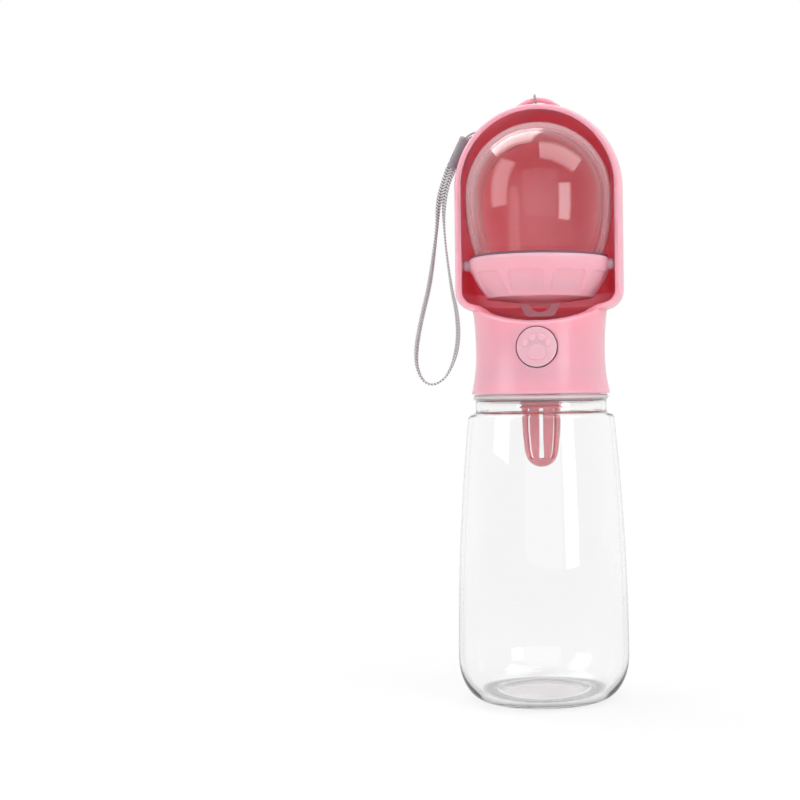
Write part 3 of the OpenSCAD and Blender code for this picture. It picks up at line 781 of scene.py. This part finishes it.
class Shader(Nodes):
    """A material with the standard surface."""

    def __init__(self, name):
        self.material = bpy.data.materials.new(name)
        self.material.use_nodes = True
        super().__init__(self.material.node_tree)
        self.bsdf = self.tree.nodes["Principled BSDF"]
        self.out = self.tree.nodes["Material Output"]

    def set(self, **values):
        """Values of the surface, each set on its own socket."""
        for key, value in values.items():
            self.bsdf.inputs[key.replace("_", " ")].default_value = value

    def drive(self, name, source):
        """A value of the surface that varies over it."""
        self.join(source, self.bsdf.inputs[name])

    def kept(self, name):
        """The number that the mesh keeps for each vertex under this name."""
        return self.node("Attribute", attribute_name=name).outputs["Fac"]

    def bump(self, height, strength, distance):
        made = self.node("Bump", Strength=strength, Distance=distance)
        self.join(height, made.inputs["Height"])
        self.drive("Normal", made.outputs["Normal"])


def linear(red, green, blue):
    """Scene-linear colour of a 0 to 255 screen colour."""
    return tuple(
        c / 12.92 if c <= 0.04045 else ((c + 0.055) / 1.055) ** 2.4
        for c in (red / 255, green / 255, blue / 255)
    )


def moulded(name, colour, shade, deep=None, roughness=0.4, coat=0.0):
    """Moulded plastic: slight flow mottling, fine skin, light spread inside.

    Where the mesh keeps the depth of a point inside the part, the colour is
    painted towards deep: painted shade in the hollows and gaps. The roughness
    stays above 0.29, because the renderer leaves marks where a varying one
    comes lower.
    """
    s = Shader(name)
    tone = s.mixed(s.noise(22, 4, (1, 1, 0.45)), colour, shade)
    # Painted shade: the colour goes towards deep in the hollows and gaps
    if deep:
        tone = s.mixed(s.kept("painted_shade"), tone, deep)
    s.drive("Base Color", tone)
    s.drive("Roughness", s.ranged(s.noise(180, 3), roughness - 0.04, roughness + 0.06))
    s.bump(s.noise(2600, 2), 0.05, FINE_BUMP)
    s.set(
        IOR=1.48,
        Subsurface_Weight=1.0,
        Subsurface_Scale=0.006,
        Subsurface_Radius=(1.0, 0.5, 0.5),
        Coat_Weight=coat,
        Coat_Roughness=0.08,
    )
    return s.material


def clear(name, face, edge, start):
    """Clear plastic, faintly wavy, whose colour is painted towards edge where
    its wall is seen on edge: painted light on the dome, painted shade on the
    bottle.

    Gives the shader, how far on edge the wall is seen, from 0 to 1, and the
    wall's colour with the painted edge band.
    """
    s = Shader(name)
    s.set(Roughness=0.01, IOR=1.45)
    facing = s.node("LayerWeight", Blend=0.5).outputs["Facing"]
    on_edge = s.ranged(facing, 0, 1, start, 1)
    s.bump(s.noise(45, 2, (1, 1, 0.3)), 0.02, 0.0004)
    # Painted edge band: the colour goes to edge where the wall is seen on edge
    return s, on_edge, s.mixed(on_edge, face, edge)


def clear_cup():
    """The dome's plastic, painted paler and made less clear where its wall is seen on edge:
    painted light along the dome's outline.
    """
    s, on_edge, tone = clear(
        "clear_moulded_plastic", (0.985, 0.98, 0.982), linear(232, 206, 212), 0.5
    )
    s.drive("Base Color", tone)
    s.drive("Transmission Weight", s.ranged(on_edge, 1, 0.4, 0, 0.6))
    return s.material


def clear_bottle():
    """The bottle's plastic, with its milky places, painted shade along the standing edge and
    painted grey shade where its wall is seen on edge.
    """
    # The grey edge colour is painted shade where the wall is seen on edge
    s, _, tone = clear(
        "clear_blown_plastic", (0.965, 0.967, 0.966), (0.42, 0.43, 0.42), 0.8
    )
    frost = s.kept("frost")
    milky = s.mixed(frost, tone, linear(250, 238, 240))
    # Painted shade: near black along the standing edge
    s.drive("Base Color", s.mixed(s.kept("foot"), milky, (0.12, 0.12, 0.125)))
    s.drive("Transmission Weight", s.ranged(frost, 1, 0.4))
    return s.material


def rubber(name, colour, shade):
    """Matt rubber or silicone, slightly mottled."""
    s = Shader(name)
    s.drive("Base Color", s.mixed(s.noise(300, 3), colour, shade))
    s.drive("Roughness", s.ranged(s.noise(500, 2), 0.42, 0.58))
    s.bump(s.noise(4000, 2), 0.15, FINE_BUMP)
    s.set(IOR=1.45)
    return s.material


def wire(name, colour):
    """Drawn metal, streaked along its length."""
    s = Shader(name)
    s.set(Metallic=1.0)
    darker = tuple(0.8 * c for c in colour)
    s.drive("Base Color", s.mixed(s.noise(900, 2, (1, 0.1, 1)), colour, darker))
    s.drive("Roughness", s.ranged(s.noise(1400, 2, (1, 0.05, 1)), 0.3, 0.42))
    return s.material


def woven(name, light, groove_shade):
    """Yarn: painted shade in the grooves that the mesh keeps as "relief", fine fibres."""
    s = Shader(name)
    fibres = s.noise(5200, 3, (1, 1, 0.35))
    tone = s.mixed(fibres, light, tuple(0.82 * c for c in light))
    # Painted shade: the colour goes to the groove colour where the yarn stands low
    s.drive("Base Color", s.mixed(s.ranged(s.kept("relief"), 0, 1, 0.12, 0.6), groove_shade, tone))
    s.bump(fibres, 0.5, 0.00008)
    s.set(Roughness=0.8, Sheen_Weight=0.25, Sheen_Roughness=0.4)
    return s.material


PINK = linear(236, 166, 180)
PINK_SHADE = linear(233, 160, 174)
# Painted shade for the hollows and gaps of the pink mouldings
PINK_PAINTED_SHADE = linear(224, 100, 118)

# The third colour given to a pink moulding is the painted shade in its hollows and gaps
MATERIALS = {
    "shell_pink": moulded("shell_pink_plastic", PINK, PINK_SHADE, PINK_PAINTED_SHADE, 0.36, 0.35),
    "cup_pink": moulded(
        "cup_pink_plastic", linear(236, 176, 188), linear(233, 170, 182), roughness=0.42
    ),
    "inner_pink": moulded("inner_pink_plastic", linear(222, 112, 128), linear(216, 102, 120)),
    "button_pink": moulded(
        "button_pink_plastic", linear(238, 180, 192), linear(235, 173, 186),
        PINK_PAINTED_SHADE, 0.36, 0.3,
    ),
    "filter_pink": moulded(
        "filter_pink_plastic", linear(248, 146, 154), linear(244, 136, 146),
        linear(214, 70, 84), 0.36, 0.2,
    ),
    "white_plastic": moulded(
        "white_moulded_plastic", linear(236, 236, 232), linear(226, 226, 222)
    ),
    "clear_bottle": clear_bottle(),
    "clear_cup": clear_cup(),
    "white_silicone": rubber("white_silicone", linear(232, 230, 226), linear(222, 220, 216)),
    "black_rubber": rubber("black_rubber", (0.012, 0.012, 0.013), (0.022, 0.022, 0.023)),
    "seal_mauve": rubber("mauve_seal", linear(128, 88, 102), linear(112, 72, 88)),
    "spring_steel": wire("drawn_steel", (0.62, 0.62, 0.64)),
    # The second colour of each cord is the painted shade in its grooves
    "cord_grey": woven("grey_cord", linear(186, 187, 190), linear(96, 97, 101)),
    "braid_grey": woven("grey_braid", linear(226, 226, 228), linear(104, 103, 106)),
    "ferrule_grey": moulded(
        "grey_sleeve_plastic", linear(148, 146, 153), linear(136, 134, 141)
    ),
}

for node, slot in SLOT_OF.items():
    shown = PIECES.get(node, NODES.get(node))
    if shown:
        shown.data.materials.clear()
        shown.data.materials.append(MATERIALS[slot])

# ------------------------------------------------------------------ studio

WHITE = (1, 1, 1, 1)
WORLD_LIGHT = 0.46
MIRROR_FRONT = 0.22  # the room on the camera's side, as a mirror shows it
FLOOR_HALF = 6.0
LAMP_AIM = Vector((0, 0, 0.2))


def seen_directly(n):
    """1 for rays that show a backdrop as it is: camera, mirror and glass."""
    rays = n.node("LightPath").outputs
    mirror = n.maths("MAXIMUM", rays["Is Camera Ray"], rays["Is Glossy Ray"])
    return n.maths("MAXIMUM", mirror, rays["Is Transmission Ray"])


def mirrored_only(n):
    """1 for rays off a mirror-like surface, 0 for rays through glass."""
    rays = n.node("LightPath").outputs
    glossy, through = rays["Is Glossy Ray"], rays["Is Transmission Ray"]
    return n.maths("SUBTRACT", glossy, through, use_clamp=True)


def room_level(n, coords, front, rear):
    """The room in a mirror: dim before Y = front, white behind Y = rear."""
    split = n.node("SeparateXYZ")
    n.join(coords, split.inputs[0])
    return n.ranged(split.outputs["Y"], MIRROR_FRONT, 1.0, front, rear)


def make_floor():
    """Pale sheet: keeps the shadow near the object, plain white further out."""
    near, far = -FLOOR_HALF, FLOOR_HALF
    corners = [(near, near, 0), (far, near, 0), (far, far, 0), (near, far, 0)]
    floor = mesh_object("floor", corners, [(0, 1, 2, 3)])
    s = Shader("pale_floor")
    s.set(Roughness=0.9, Base_Color=(0.9, 0.9, 0.9, 1))
    place = s.node("TexCoord").outputs["Object"]
    glow = s.node("Emission", Color=WHITE)
    level = s.node("MapRange", To_Min=1)
    s.join(mirrored_only(s), level.inputs["Value"])
    s.join(room_level(s, place, -0.5, 0.5), level.inputs["To Max"])
    s.join(level.outputs["Result"], glow.inputs["Strength"])
    # Share of plain white: 0.8 up to 8 cm from the axis, 1 from 30 cm
    away = s.node("VectorMath", operation="LENGTH")
    s.join(place, away.inputs[0])
    white = s.ranged(away.outputs["Value"], 0.8, 1.0, 0.08, 0.3)
    share = s.maths("MULTIPLY", seen_directly(s), white)
    sheet = s.blended(share, s.bsdf.outputs["BSDF"], glow.outputs["Emission"])
    s.join(sheet, s.out.inputs["Surface"])
    floor.data.materials.append(s.material)


def make_world():
    """White where it is seen; in mirror reflections, dimmer on the front side."""
    world = bpy.data.worlds.new("studio")
    bpy.context.scene.world = world
    world.use_nodes = True
    n = Nodes(world.node_tree)
    n.tree.nodes.clear()
    light = n.node("Background", Color=WHITE, Strength=WORLD_LIGHT).outputs["Background"]
    white = n.node("Background", Color=WHITE, Strength=1.0).outputs["Background"]
    room = n.node("Background", Color=WHITE)
    level = room_level(n, n.node("TexCoord").outputs["Generated"], -0.6, 0.4)
    n.join(level, room.inputs["Strength"])
    seen = n.blended(seen_directly(n), light, white)
    shown = n.blended(mirrored_only(n), seen, room.outputs["Background"])
    n.join(shown, n.node("OutputWorld").inputs["Surface"])


def softbox(name, place, along, size, power):
    """Panel that faces the head, its first side laid along a direction."""
    data = bpy.data.lights.new(name, "AREA")
    data.shape = "RECTANGLE"
    data.size, data.size_y = size
    data.energy = power
    lamp = link(bpy.data.objects.new(name, data))
    back = (Vector(place) - LAMP_AIM).normalized()
    first = Vector(along)
    first = (first - first.dot(back) * back).normalized()
    turn = Matrix((first, back.cross(first), back)).transposed()
    lamp.matrix_world = Matrix.Translation(place) @ turn.to_4x4()
    return lamp


make_floor()
make_world()
softbox("key_left", (-0.80, -0.45, 0.60), (0, 0, 1), (0.85, 0.5), 3.2)
softbox("top_left", (-0.42, 0.36, 1.22), (-0.85, 0.2, -0.45), (0.85, 0.7), 6.0)
softbox("top_right", (0.5, -0.3, 1.1), (0.87, 0.24, -0.42), (1.0, 0.62), 5.5)
fill = softbox("front_fill", (0.1, -1.1, 0.5), (1, 0, 0), (1.2, 1.0), 3.0)
fill.visible_glossy = False
softbox("low_right", (0.70, -0.72, 0.24), (0, 0, 1), (0.44, 0.33), 1.8)
